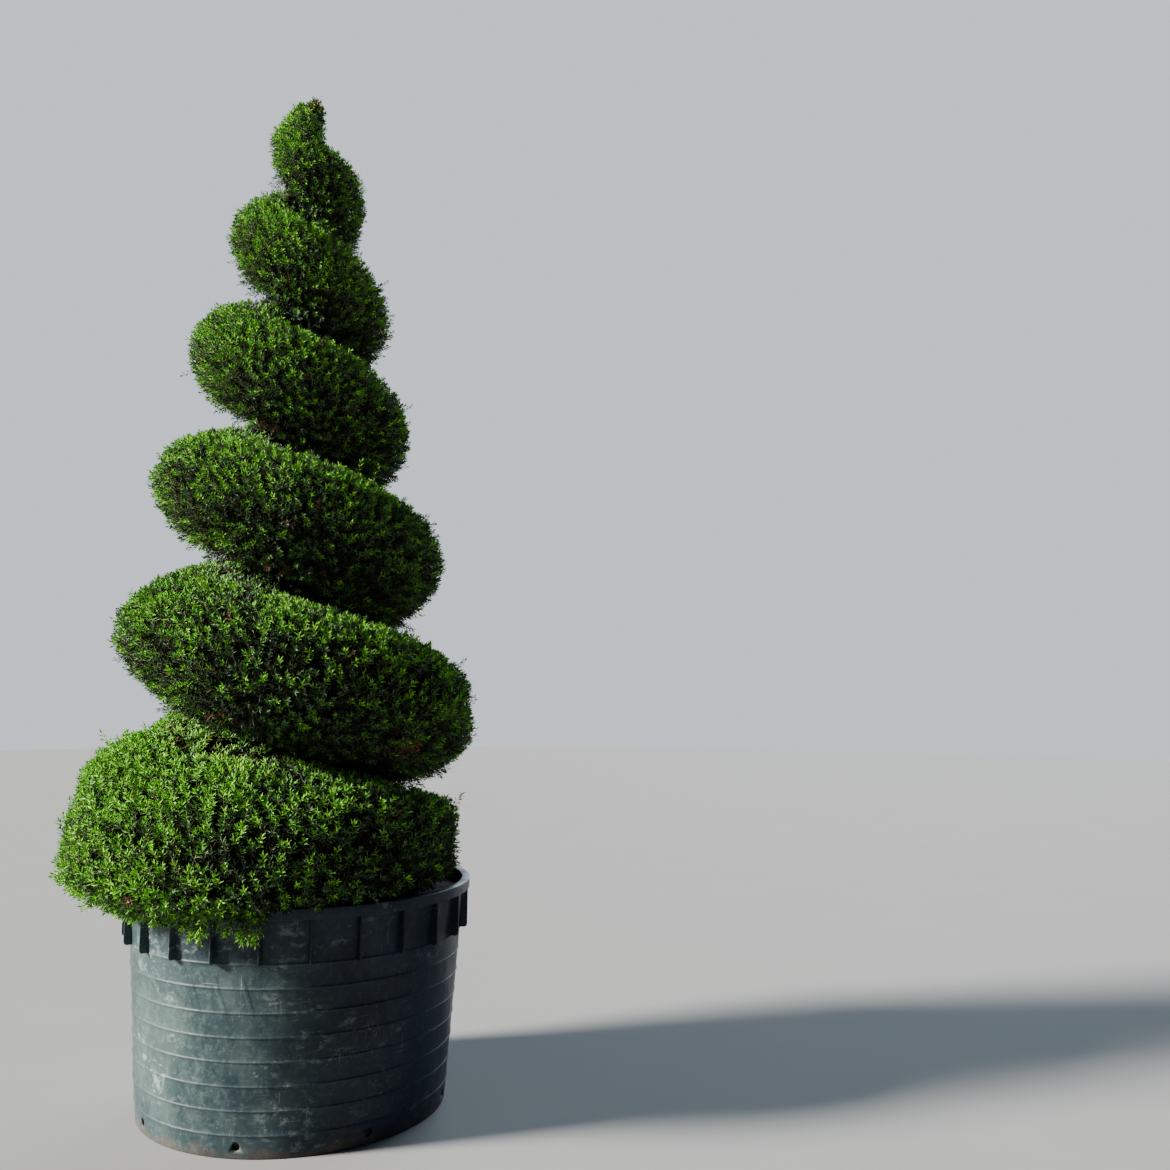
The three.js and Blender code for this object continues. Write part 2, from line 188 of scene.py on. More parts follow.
def ease(value, low, high):
    """How far a value is from low to high, from 0 to 1, eased at both ends (3s^2 - 2s^3)."""
    share = np.clip((value - low) / (high - low), 0, 1)
    return share * share * (3 - 2 * share)


def window(value, start, full, until, end):
    """1 from full to until, easing in from start and out to end."""
    return ease(value, start, full) * (1 - ease(value, until, end))


def unit(vectors):
    """Each vector divided by its own length."""
    return vectors / np.maximum(np.linalg.norm(vectors, axis=-1, keepdims=True), 1e-9)


def lumps(points, size, seed):
    """Smooth random heights from -1 to 1.

    Each corner of a cubic lattice of that size has its own hashed value, and a point between the corners
    takes their eased blend.
    """
    place = np.asarray(points, float) / size
    corner = np.floor(place).astype(np.int64)
    share = place - corner
    share = share * share * (3 - 2 * share)
    total = np.zeros(place.shape[:-1])
    for step in np.ndindex(2, 2, 2):
        mixed = ((corner + step) @ np.array([374761393, 668265263, 1274126177]) + seed * 97531) & 0xFFFFFFFF
        mixed = ((mixed ^ (mixed >> 13)) * 1274126177) & 0xFFFFFFFF
        value = (mixed ^ (mixed >> 16)) / 2 ** 31 - 1
        total += value * np.prod(np.where(step, share, 1 - share), axis=-1)
    return total


def make_object(name, points, faces, finish, smooth=True):
    """A mesh object from points and arrays of corner numbers, one array for each count of corners."""
    mesh = bpy.data.meshes.new(name)
    sizes = np.concatenate([np.full(group[..., 0].size, group.shape[-1]) for group in faces])
    corners = np.concatenate([group.ravel() for group in faces]).astype(np.int32)
    starts = (np.cumsum(sizes) - sizes).astype(np.int32)
    mesh.vertices.add(points.size // 3)
    mesh.vertices.foreach_set("co", points.astype(np.float32).ravel())
    mesh.loops.add(len(corners))
    mesh.loops.foreach_set("vertex_index", corners)
    mesh.polygons.add(len(sizes))
    mesh.polygons.foreach_set("loop_start", starts)
    mesh.update(calc_edges=True)
    if smooth:
        mesh.shade_smooth()
    else:
        mesh.shade_flat()
    mesh.materials.append(finish)
    made = bpy.data.objects.new(name, mesh)
    bpy.context.collection.objects.link(made)
    return made


def make_piece(name, points, faces, finish, node, smooth=True):
    """An object of the part itself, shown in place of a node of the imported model."""
    piece = make_object(name, points, faces, finish, smooth)
    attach(piece, "root")
    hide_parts(node)
    return piece


def spaced(count, first=0.0):
    """That many angles, evenly spaced."""
    return first + FULL * np.arange(count) / count


def polar(angle, radius, z, middle=0.0):
    """Points (middle + radius * cos(angle), radius * sin(angle), z)."""
    x, y = middle + radius * np.cos(angle), radius * np.sin(angle)
    return np.stack(np.broadcast_arrays(x, y, z), -1)


def ring_faces(rows, sides):
    """Four-cornered faces between rings of points, each ring joined to the next."""
    row, column = np.meshgrid(np.arange(rows - 1), np.arange(sides), indexing="ij")
    right = (column + 1) % sides
    low, high = row * sides, (row + 1) * sides
    return np.stack([low + column, low + right, high + right, high + column], -1)


def closed(rings, poles):
    """Points and faces of a skin over rings of points, with a fan of faces to a pole at either end."""
    rows, sides = rings.shape[:2]
    ring = np.arange(sides)
    after = np.roll(ring, -1)
    top = (rows - 1) * sides
    first = np.stack([np.full(sides, rows * sides), after, ring], -1)
    last = np.stack([np.full(sides, rows * sides + 1), top + ring, top + after], -1)
    points = np.concatenate([rings.reshape(-1, 3), poles])
    return points, [ring_faces(rows, sides), np.concatenate([first, last])]


def turned(profile, sides, ripple=None):
    """Points and faces of a profile of (radius, height) turned about Z. Both its ends lie on Z."""
    rings = polar(spaced(sides), profile[1:-1, 0, None], profile[1:-1, 1, None])
    if ripple:
        rings = ripple(rings)
    return closed(rings, [[0, 0, profile[0, 1]], [0, 0, profile[-1, 1]]])


def softened(corners, radius, steps=4):
    """A polyline whose inner corners are rounded by short quadratic curves of that radius."""
    corners = np.asarray(corners, float)
    before, here, after = corners[:-2], corners[1:-1], corners[2:]
    back, ahead = before - here, after - here
    reach = [np.minimum(radius, 0.45 * np.linalg.norm(way, axis=1, keepdims=True)) for way in (back, ahead)]
    start, end = here + unit(back) * reach[0], here + unit(ahead) * reach[1]
    share = np.linspace(0, 1, steps)[None, :, None]
    rest = 1 - share
    curve = rest ** 2 * start[:, None] + 2 * share * rest * here[:, None] + share ** 2 * end[:, None]
    return np.concatenate([corners[:1], curve.reshape(-1, 2), corners[-1:]])


def limb_faces(count, steps, sides):
    """Faces of that many closed limbs of rings: their walls, and a flat cap at either end."""
    first = np.arange(count)[:, None] * steps * sides
    ring = np.arange(sides)
    caps = np.concatenate([first + ring[::-1], first + (steps - 1) * sides + ring])
    return first[:, :, None, None] + ring_faces(steps, sides), caps


def around(ahead, hint, angle):
    """Unit vectors square to each direction, at angles from its cross product with a hint."""
    aside = unit(np.cross(ahead, hint))[..., None, :]
    over = np.cross(ahead[..., None, :], aside)
    return aside * np.cos(angle)[..., None] + over * np.sin(angle)[..., None]


def tubes(paths, radii, sides):
    """Points and faces of closed round limbs along paths of shape (limbs, steps, 3)."""
    ahead = unit(np.gradient(paths, axis=1))
    up = np.where(np.abs(ahead[..., 2:]) > 0.9, [1.0, 0, 0], UP)
    points = paths[:, :, None] + around(ahead, up, spaced(sides)) * radii[:, :, None, None]
    return points, limb_faces(*paths.shape[:2], sides)


class Wire:
    """An output of a shader node. Sums, differences, products and quotients add Math nodes."""

    def __init__(self, finish, socket):
        self.finish = finish
        self.socket = socket

    def math(self, operation, *values):
        return self.finish.node("Math", dict(enumerate(values)), operation=operation)

    def __add__(self, other):
        return self.math("ADD", self, other)

    def __sub__(self, other):
        return self.math("SUBTRACT", self, other)

    def __rsub__(self, other):
        return self.math("SUBTRACT", other, self)

    def __mul__(self, other):
        return self.math("MULTIPLY", self, other)

    def __truediv__(self, other):
        return self.math("DIVIDE", self, other)

    __radd__ = __add__
    __rmul__ = __mul__

    def size(self):
        """The value without its sign."""
        return self.math("ABSOLUTE", self)

    def from_whole(self):
        """How far the value is from the nearest whole number."""
        return (self - self.math("ROUND", self)).size()

    def between(self, low, high):
        """How far the value is from low to high, eased, from 0 to 1."""
        inputs = {"Value": self, "From Min": low, "From Max": high}
        return self.finish.node("MapRange", inputs, interpolation_type="SMOOTHSTEP")


class Finish:
    """A node material with one Principled shader."""

    def __init__(self, name, **constants):
        self.material = bpy.data.materials.new(name)
        self.material.use_nodes = True
        self.tree = self.material.node_tree
        self.shader = self.tree.nodes["Principled BSDF"]
        for socket, value in constants.items():
            self.shader.inputs[socket.replace("_", " ")].default_value = value

    def node(self, kind, inputs=None, output=0, **settings):
        """Adds a node with its settings, and feeds its sockets their values or links."""
        made = self.tree.nodes.new("ShaderNode" + kind)
        for name, value in settings.items():
            setattr(made, name, value)
        for socket, value in (inputs or {}).items():
            self.feed(made.inputs[socket], value)
        return Wire(self, made.outputs[output])

    def feed(self, socket, value):
        """Gives a socket a link, or a value of its own."""
        if isinstance(value, Wire):
            self.tree.links.new(value.socket, socket)
        elif isinstance(value, tuple) and len(socket.default_value) == 4:
            socket.default_value = (*value, 1)
        else:
            socket.default_value = value

    def place(self, scale=(1, 1, 1), turn=0.0, spot=None):
        """The point's own place in metres, or another vector, stretched and turned about Z."""
        spot = spot or self.node("TexCoord", output=3)
        return self.node("Mapping", {0: spot, "Scale": scale, "Rotation": (0, 0, turn)})

    def noise(self, where, scale, detail=3, roughness=0.55, distortion=0.0):
        inputs = {"Vector": where, "Scale": scale, "Detail": detail, "Roughness": roughness}
        return self.node("TexNoise", {**inputs, "Distortion": distortion})

    def mix(self, share, first, second):
        """A blend of two colours."""
        return self.node("Mix", {0: share, 6: first, 7: second}, output=2, data_type="RGBA")

    def bump(self, height, distance, strength=1.0):
        return self.node("Bump", {"Height": height, "Distance": distance, "Strength": strength})

    def done(self, colour=None, roughness=None, normal=None):
        """Links what varies over the surface to the shader."""
        for socket, value in (("Base Color", colour), ("Roughness", roughness), ("Normal", normal)):
            if value is not None:
                self.feed(self.shader.inputs[socket], value)
        return self.material


def tub_plastic():
    """Dull black plastic greyed by dust, in painted-light and painted-shade copies, with smears, scratches,
    worn hoops with a painted highlight, and a dirty foot.
    """
    made = Finish("tub plastic", Specular_IOR_Level=0.18)
    spot = made.place()
    parts = made.node("SeparateXYZ", {0: spot}).socket.node.outputs
    x, y, z = (Wire(made, part) for part in parts)
    # The angle round the tub from its front, in metres along the wall, with the cut behind.
    round_tub = x.math("ARCTAN2", x, 0 - y) * TUB.mean
    wall = made.node("CombineXYZ", {0: round_tub, 1: z})

    def streaks(stretch, turn, low):
        """Thin streaks on the wall, from a squeezed noise."""
        return made.noise(made.place(stretch, turn, wall), 1.0, 2).between(low, 0.74)

    cloudy = made.noise(spot, 3.2, 4).between(0.36, 0.66)
    dusty = made.noise(made.place((1, 1, 0.55)), 10.0, 7, 0.7).between(0.42, 0.66)
    mottled = made.noise(spot, 46.0, 5, 0.7).between(0.48, 0.66)
    knocked = made.noise(made.place((1, 1, 1.2)), 4.2, 2, 0.5).between(0.5, 0.64)
    smears = made.noise(made.place((1, 1, 1.6)), 19.0, 7, 0.74, 0.3).between(0.52, 0.63) * knocked
    flecks = made.noise(spot, 70.0, 3, 0.6).between(0.67, 0.76)
    scratches = streaks((150, 9, 1), 0.6, 0.69) + streaks((210, 5, 1), -0.15, 0.69)
    scratches = (scratches + streaks((6, 240, 1), 0.05, 0.68)) * made.noise(spot, 6.0, 2).between(0.46, 0.62)
    # Each hoop's crest is a whole number of steps down from the highest hoop.
    from_hoop = ((HOOP.highest - z) / HOOP.pitch).from_whole()
    # Hoop crests take a paler colour only on the painted lit side: wear, and a painted highlight on the
    # crests.
    hoop_wear_and_highlight = (1 - from_hoop.between(0.02, 0.06)) * made.noise(wall, 14.0, 4, 0.7).between(0.34, 0.62)
    # Three slanted creases, evenly spaced, where the front left of the wall was once dented.
    crease = (round_tub + CREASE.slant * z - CREASE.middle) / CREASE.pitch
    creased = (1 - crease.from_whole().between(0.02, 0.13)) * (1 - crease.size().between(1.3, 1.5))
    creased = creased * z.between(*CREASE.bottom) * (1 - z.between(*CREASE.top))
    foot_dirt = (1 - (z + made.noise(spot, 9.0, 5, 0.7) * 0.16).between(0.07, 0.13)) * 0.5
    # Painted light: the side turned to the left and a little forward, towards the key lamp, takes the paler
    # lit copies of the plastic's tones, standing also for sun-bleaching; the rest takes the painted-shade
    # copies.
    painted_light_and_bleach = (0.5 - 0.7 * x - 0.25 * y + 0.25 * made.noise(spot, 2.2, 3)).between(0.48, 1.08)
    # Painted shade under the flange: from just below the highest hoop up, the lit copies give way by half to
    # the shaded ones.
    painted_light_and_bleach *= 1 - 0.5 * z.between(0.675, 0.715)
    shaded, painted_lit_plastic = (made.mix(cloudy, *TUB_TONES[name]) for name in ("shaded", "painted_light_and_bleach"))
    colour = made.mix(painted_light_and_bleach, shaded, painted_lit_plastic)
    # Dust, mottle and smears grow with the painted lit side, so there they add painted light and sheen on top
    # of the marks themselves.
    layers = (
        ("dust", dusty * 0.36 * painted_light_and_bleach),
        ("mottle", mottled * (0.05 + 0.25 * painted_light_and_bleach)),
        ("smear", smears * (0.16 + 0.5 * painted_light_and_bleach)),
        ("fleck", flecks * 0.35),
        ("wear_and_highlight", hoop_wear_and_highlight * 0.2 * painted_light_and_bleach),
        ("scratch", scratches * 0.45),
        ("dirt", foot_dirt),
    )
    for name, share in layers:
        colour = made.mix(share, colour, TUB_TONES[name])
    roughness = 0.4 + 0.16 * dusty + 0.14 * smears + 0.15 * foot_dirt
    grain = made.noise(spot, 420.0, 2)
    relief = grain * 0.25 + made.noise(spot, 26.0, 3) * 0.9 - scratches * 0.5 + creased * 2.4
    return made.done(colour, roughness, made.bump(relief, 0.0012, 0.5))


def growing_medium():
    """Dark crumbs of peat and bark."""
    made = Finish("growing medium", Specular_IOR_Level=0.2)
    spot = made.place()
    crumbs = made.noise(spot, 90.0, 5, 0.7)
    damp = made.noise(spot, 7.0, 3).between(0.4, 0.65)
    colour = made.mix(crumbs.between(0.35, 0.7), (0.02, 0.013, 0.009), (0.105, 0.068, 0.043))
    colour = made.mix(damp * 0.5, colour, (0.022, 0.015, 0.011))
    return made.done(colour, 0.86 + 0.12 * crumbs, made.bump(crumbs, 0.006))


def flaking_bark(name="flaking bark", fine=1.0):
    """Red-brown bark in upright plates, grey where it is old, with dark cracks between the plates."""
    made = Finish(name, Specular_IOR_Level=0.12)
    tall = made.place((1, 1, 0.22))
    plates = made.node("TexVoronoi", {"Vector": tall, "Scale": 46.0 * fine}, feature="DISTANCE_TO_EDGE")
    fibres = made.noise(tall, 130.0 * fine, 5, 0.65)
    patches = made.noise(made.place(), 9.0 * fine, 3).between(0.4, 0.62)
    colour = made.mix(fibres.between(0.34, 0.68), (0.06, 0.03, 0.018), (0.165, 0.088, 0.054))
    colour = made.mix(patches * 0.5, colour, (0.1, 0.078, 0.06))
    cracks = 1 - plates.between(0.02, 0.16)
    colour = made.mix(cracks * 0.75, colour, (0.026, 0.016, 0.012))
    relief = plates.between(0.0, 0.3) + fibres * 0.6
    return made.done(colour, 0.8 + 0.15 * fibres, made.bump(relief, 0.004))


def mottled(name, gloss, noise, span, tones, rough, relief=None):
    """A finish whose colour runs between two tones with a noise, as do its roughness and any relief."""
    made = Finish(name, Specular_IOR_Level=gloss)
    uneven = made.noise(made.place(), *noise)
    colour = made.mix(uneven.between(*span), *tones)
    normal = made.bump(uneven, relief) if relief else None
    return made.done(colour, rough[0] + rough[1] * uneven, normal)


def painted_shade_thicket():
    """Twigs and old needles deep inside the clipped band, in near-black tones that are painted shade."""
    tones = ((0.003, 0.004, 0.002), (0.02, 0.016, 0.008))
    return mottled("inner thicket", 0.0, (60.0, 5, 0.7, 0.8), (0.45, 0.75), tones, (0.85, 0.1), 0.02)


def needle_finish(name, colour):
    """One plain needle colour, a little uneven from needle to needle, with the soft gloss of their wax."""
    deeper = tuple(0.36 * part for part in colour)
    paler = tuple(1.6 * part + 0.01 for part in colour)
    return mottled("needles " + name, 0.22, (120.0, 2), (0.39, 0.63), (deeper, paler), (0.45, 0.12))


def shoot_finish():
    """Green-brown skin of the year's shoots."""
    tones = ((0.11, 0.085, 0.03), (0.15, 0.085, 0.05))
    return mottled("young shoots", 0.1, (40.0, 3), (0.4, 0.6), tones, (0.6, 0.2))


def wall_radius(z):
    """The outside of the tub's wall: the base radius plus the taper times the height."""
    return TUB.base + TUB.taper * z


def tub_profile():
    """Half of the tub's cross-section, from the middle of its underside out, up, over the lip and back in.

    The outer wall carries a fine round bead at each hoop: a bell curve of the height.
    """
    hoops = HOOP.highest - HOOP.pitch * np.arange(HOOP.count)[::-1]
    offsets = np.array([-9, -5, -3.2, -1.6, 0, 1.6, 3.2, 5, 9]) / 1000
    height = np.sort(np.concatenate([(hoops[:, None] + offsets).ravel(), np.linspace(0.02, 0.86, 20)]))
    bead = HOOP.proud * np.exp(-((height[:, None] - hoops) / HOOP.width) ** 2).sum(-1)
    outer = np.stack([wall_radius(height) + bead, height], -1)
    lip_end = TUB.height - LIP.drop
    rim = softened([
        outer[-1],
        [wall_radius(LIP_UNDER), LIP_UNDER],
        [LIP_INSIDE, LIP_UNDER],
        [LIP_INSIDE, lip_end],
        [LIP.radius, lip_end],
        [LIP.radius, TUB.height],
        [wall_radius(TUB.height) - TUB.wall, TUB.height],
        [wall_radius(TUB.floor) - TUB.wall, TUB.floor],
        [0, TUB.floor],
    ], 0.0035)
    base = softened([[0, 0], [TUB.base, 0], outer[0]], 0.006)
    return np.concatenate([base[:-1], outer, rim[1:]])


def tub_ripple(rings):
    """Pushes the wall in and out by up to 3 mm in wide smooth lumps, as no moulded wall is quite true."""
    push = 0.0022 * lumps(rings, 0.23, 5) + 0.0008 * lumps(rings, 0.07, 6)
    push *= window(rings[..., 2], 0.0, 0.12, 0.8, 0.87)
    out = rings.copy()
    radius = np.linalg.norm(rings[..., :2], axis=-1)
    out[..., :2] *= (1 + push * (radius > 0.55) / np.maximum(radius, 0.1))[..., None]
    return out


def make_tub(finish):
    """The tub: its profile turned about Z, rippled and drilled."""
    points, faces = turned(tub_profile(), TUB.sides, tub_ripple)
    tub = make_piece("tub", points, faces, finish, "pot")
    drill_drains(tub)


def drill_drains(tub):
    """Cuts the drain holes: one closed round bit for each, lying along its own radius of the tub."""
    out = polar(spaced(DRAIN.count, DRAIN.first), 1, 0)
    reach = np.array([TUB.base - DRAIN.bit, TUB.base + DRAIN.bit])
    paths = out[:, None] * reach[:, None] + UP * DRAIN.height
    points, faces = tubes(paths, np.full((DRAIN.count, 2), DRAIN.radius), DRAIN.sides)
    bits = make_piece("drain_bits", points, faces, tub.data.materials[0], "pot")
    cut = tub.modifiers.new("drains", "BOOLEAN")
    cut.operation = "DIFFERENCE"
    cut.object = bits
    cut.solver = "EXACT"
    shown = tub.evaluated_get(bpy.context.evaluated_depsgraph_get())
    drilled = bpy.data.meshes.new_from_object(shown)
    tub.modifiers.clear()
    tub.data = drilled
    bpy.data.objects.remove(bits)


def make_gussets(finish):
    """Plates under the flange: one outline in (radius, height), stood along each radius and thickened."""
    low, high = HOOP.highest, LIP_UNDER + GUSSET.sunk / 2
    inner_low, inner_high = wall_radius(low) - GUSSET.sunk, wall_radius(high) - GUSSET.sunk
    outer = LIP_INSIDE + GUSSET.sunk / 2
    plate = np.array([
        [inner_low, low + 0.001], [outer - 0.012, low], [outer - 0.003, low + 0.004], [outer, low + 0.014],
        [outer, high], [inner_high, high],
    ])
    out = polar(spaced(GUSSET.count, GUSSET.first), 1, 0)
    flat = out[:, None] * plate[:, :1] + UP * plate[:, 1:]
    half = np.cross(UP, out)[:, None] * GUSSET.thickness / 2
    points = np.stack([flat - half, flat + half], 1)
    edges, flanks = limb_faces(GUSSET.count, 2, len(plate))
    faces = [flanks[:, ::-1], edges[..., [0, 3, 2, 1]]]
    gussets = make_piece("gussets", points, faces, finish, "pot", smooth=False)
    bevel = gussets.modifiers.new("soft edges", "BEVEL")
    bevel.width = 0.0012
    bevel.segments = 2


def make_soil(finish):
    """The growing medium: a plug turned about Z, its top raised in lumps that stop short of the wall."""
    gap = TUB.wall + SOIL.gap
    low, level = TUB.floor + TOUCH, SOIL_TOP - SOIL.lump
    edge = wall_radius(SOIL_TOP) - gap
    top = np.linspace(edge - SOIL.lump, 0.0, SOIL.rings)
    profile = np.concatenate([
        [[0, low], [wall_radius(low) - gap - SOIL.inset, low], [edge - SOIL.inset, level]],
        np.stack([top, np.full(len(top), level)], -1),
    ])

    def lumpy(rings):
        raised = 0.006 * lumps(rings, 0.05, 3) + 0.004 * lumps(rings, 0.02, 4)
        raised[:3] = 0
        return rings + UP * np.minimum(raised, SOIL.lump)[..., None]

    points, faces = turned(profile, SOIL.sides, lumpy)
    make_piece("soil_surface", points, faces, finish, "soil")


def axis_x(z):
    """Where the spiral's axis is at a height: a middle place less a slow cosine wave."""
    return WANDER.x - WANDER.swing * np.cos(FULL * (z - WANDER.at) / WANDER.wave)


def trunk_radius(z):
    """The tip's radius, plus a nearly straight taper, plus a flare that dies away above the soil."""
    share = np.maximum(0, (TRUNK.tip - z) / (TRUNK.tip - TRUNK.foot))
    flare = FLARE.radius * np.exp(-(z - TRUNK.foot) / FLARE.height)
    return TRUNK.tip_radius + (TRUNK.radius - TRUNK.tip_radius) * share ** 0.9 + flare


def make_trunk(finish):
    """The trunk: a circle of the trunk's radius at each height, about the wandering axis.

    Shallow flutes run up it, as a cosine of the angle and height, and stretched lumps stand for the plates
    of bark. The relief only cuts into the radius.
    """
    share = np.linspace(0, 1, TRUNK.steps) ** 1.3
    z = (TRUNK.foot + (TRUNK.tip - TRUNK.foot) * share)[:, None]
    angle, radius = spaced(TRUNK.sides), trunk_radius(z)
    spot = polar(angle, radius, 0.22 * z)
    flutes = 0.5 + 0.5 * np.cos(5 * angle + 1.7 * z + 1.3 * np.sin(2.1 * z))
    relief = 0.06 * flutes + 0.045 * (1 + lumps(spot, 0.016, 8)) + 0.03 * (1 + lumps(spot, 0.007, 9))
    rings = polar(angle, radius * (1 - relief), z, axis_x(z))
    ends = [[axis_x(height), 0, height] for height in (TRUNK.foot, TRUNK.tip)]
    points, faces = closed(rings, ends)
    make_piece("trunk_bark", points, faces, finish, "trunk")


def groove_z(turn):
    """The height of the groove over the band: the top less a fall that quickens, plus how far it strays."""
    stray = np.interp(turn, *GROOVE_STRAY)
    return GROOVE.top - GROOVE.fall * turn - GROOVE.quicken * turn ** 2 + stray


def facing(turn):
    """The angle about the axis at which a turn stands."""
    return pi + FULL * (turn + SPIRAL.offset)


def outline(turn, rise, side_in=0.0, face_in=0.0, top_in=0.0):
    """Points of the clipped band's skin: at each turn a superellipse between two grooves.

    Rise runs from -90 degrees at its inner bottom to 90 at its inner top. The radius is the reach times a
    power of cos(rise), and the height is the middle plus half the thickness times a power of sin(rise). Over
    the rim the middle hangs lower. At the tip the radius stays within a flame shape, with a waist at the
    right. The skin can be drawn in from its sides, faces and top.
    """
    turn, rise = np.broadcast_arrays(turn, rise)
    pitch = groove_z(turn) - groove_z(turn + 1)
    foot = ease(turn, FOOT.at - FOOT.blend, FOOT.at + FOOT.blend)
    over = ease(turn, HANG.start, HANG.full)
    top = np.minimum(groove_z(turn) - GROOVE.open * pitch, SPIRAL.tip)
    bottom = np.maximum(groove_z(turn + 1) + GROOVE.open * pitch, SOIL_TOP)
    drawn = np.minimum(face_in, 0.3 * (top - bottom))
    half = np.maximum(top - bottom - 2 * drawn, 0.016) / 2
    grown = REACH.start + REACH.per_turn * turn + REACH.sharpen * np.minimum(turn, 0)
    reach = np.maximum(grown, REACH.least) + HANG.skirt * over
    reach += np.interp(turn, *REACH_STRAY)
    reach += (FOOT.radius - reach) * foot
    reach -= np.minimum(side_in, 0.45 * reach)
    side = ROUNDNESS.side + (FOOT.roundness - ROUNDNESS.side) * foot
    upper = ROUNDNESS.upper + SHOULDER.extra * ease(turn, *SHOULDER.turns)
    lower = ROUNDNESS.lower + SETTLED.extra * window(turn, *SETTLED.turns)
    power = np.where(rise > 0, upper, lower)
    power += (FOOT.roundness - power) * foot
    lift = np.sign(rise) * np.abs(np.sin(rise)) ** (2 / power)
    z = (top + bottom) / 2 + half * lift - HANG.drop * over * (1 - foot) * (1 - lift ** 2)
    under = np.maximum(0, SPIRAL.tip - top_in - z) / FLAME.height
    radius = reach * np.maximum(0, np.cos(rise)) ** (2 / side)
    radius = np.minimum(radius, FLAME.radius * under ** FLAME.power)
    waist = WAIST.share * np.exp(-((z - WAIST.at) / WAIST.height) ** 2)
    radius *= 1 - waist * np.maximum(0, np.cos(facing(turn)))
    return polar(facing(turn), radius, z, axis_x(z))


def thicket_skin(turn, rise):
    """The outline drawn in to where the inner thicket ends."""
    return outline(turn, rise, THICKET.side, THICKET.face, THICKET.top)


def step_share(turn, rise):
    """How much of the step's depth a place has: full just above the step's line, easing out either way."""
    over = rise - np.interp(turn, *STEP_LINE)
    return window(turn, *STEP_SPAN) * window(over, *STEP_FADE)


def skin_frame(turn, rise):
    """Points of the outline with their outward direction.

    Outward is the cross product of a small step along the band and a small step across it.
    """
    here = outline(turn, rise)
    across = unit(outline(turn, rise + 0.02) - here)
    along = unit(outline(turn + 0.01, rise) - here)
    return here, unit(np.cross(along, across))


def in_own_space(points, near, mass):
    """True where points lie in their mass's own space, clear of the trunk, the tub and the turns beside it.

    A point's turn is the one at its angle about the axis that is nearest to its spray's. It must lie under
    the groove above that turn and, where the band doesn't hang, over the groove below.
    """
    x, y, z = np.moveaxis(points, -1, 0)
    radius, from_tub = np.hypot(x - axis_x(z), y), np.hypot(x, y)
    bare = np.arctan2(y, x - axis_x(z)) / FULL - 0.5 - SPIRAL.offset
    turn = bare + np.round(near - bare)
    seam = ROOM.seam / (FULL * np.maximum(radius, 0.02))
    start_room = ROOM.ends if mass.start == SPIRAL.start else seam
    end_room = ROOM.ends if mass.end == SPIRAL.end else seam
    within = (turn > mass.start - start_room) & (turn < mass.end + end_room)
    within &= z < groove_z(turn) - ROOM.groove
    within &= z < SPIRAL.tip + ROOM.tip
    over_rim = (from_tub > TUB_ROOM.inner) & (from_tub < TUB_ROOM.outer + ROOM.rim)
    within &= ~((z < TUB_ROOM.rim + ROOM.rim) & over_rim)
    within &= ~((z < SOIL_TOP + ROOM.soil) & (from_tub < TUB_ROOM.outer))
    within &= (turn > HANG.start) | (z > groove_z(turn + 1) + ROOM.groove)
    return within & (radius > trunk_radius(z) + ROOM.trunk)


def make_thicket(mass, finish):
    """The inside of a mass, dark as painted shade: the drawn-in outline from bottom to top, then down along
    the trunk.

    Lumps push it in and out along the direction from the trunk. A fan of faces closes each end.
    """
    steps = int((mass.end - mass.start) * MESH.steps_per_turn)
    room = THICKET.seam / max(0.2, REACH.start + REACH.per_turn * mass.start)
    turn = np.linspace(mass.start + room, mass.end - room, steps)[:, None]
    rise = np.linspace(-pi / 2, pi / 2, MESH.across)
    outer = thicket_skin(turn, rise)
    outer[..., 2] -= STEP_DEPTH * step_share(turn, rise)
    radius = np.hypot(outer[..., 0] - axis_x(outer[..., 2]), outer[..., 1])
    bump = THICKET.lump * (lumps(outer, 0.07, 21) + 0.6 * lumps(outer, 0.03, 22))
    radius = radius + bump * ease(radius, 0.05, 0.15)
    z = np.minimum(outer[..., 2], SPIRAL.tip - THICKET.top + 0.01)
    down = np.linspace(1, 0, MESH.inner + 2)[1:-1]
    z = np.concatenate([z, z[:, :1] + (z[:, -1:] - z[:, :1]) * down], 1)
    radius = np.concatenate([radius, np.zeros((steps, MESH.inner))], 1)
    radius = np.maximum(radius, np.where(z < TRUNK.tip, trunk_radius(z), 0) + 0.002)
    rings = polar(facing(turn), radius, z, axis_x(z))
    from_tub = np.hypot(rings[..., 0], rings[..., 1])
    floor = np.where(from_tub > TUB_ROOM.inner - 0.01, THICKET.on_rim, THICKET.on_soil)
    floor = np.where(from_tub < TUB_ROOM.outer, floor, 0)
    rings[..., 2] = np.maximum(rings[..., 2], floor)
    points, (walls, fans) = closed(rings, [rings[0].mean(0), rings[-1].mean(0)])
    outward = [walls[..., ::-1], fans[:, [0, 2, 1]]]
    make_piece(f"thicket_{mass.node}", points, outward, finish, mass.node)


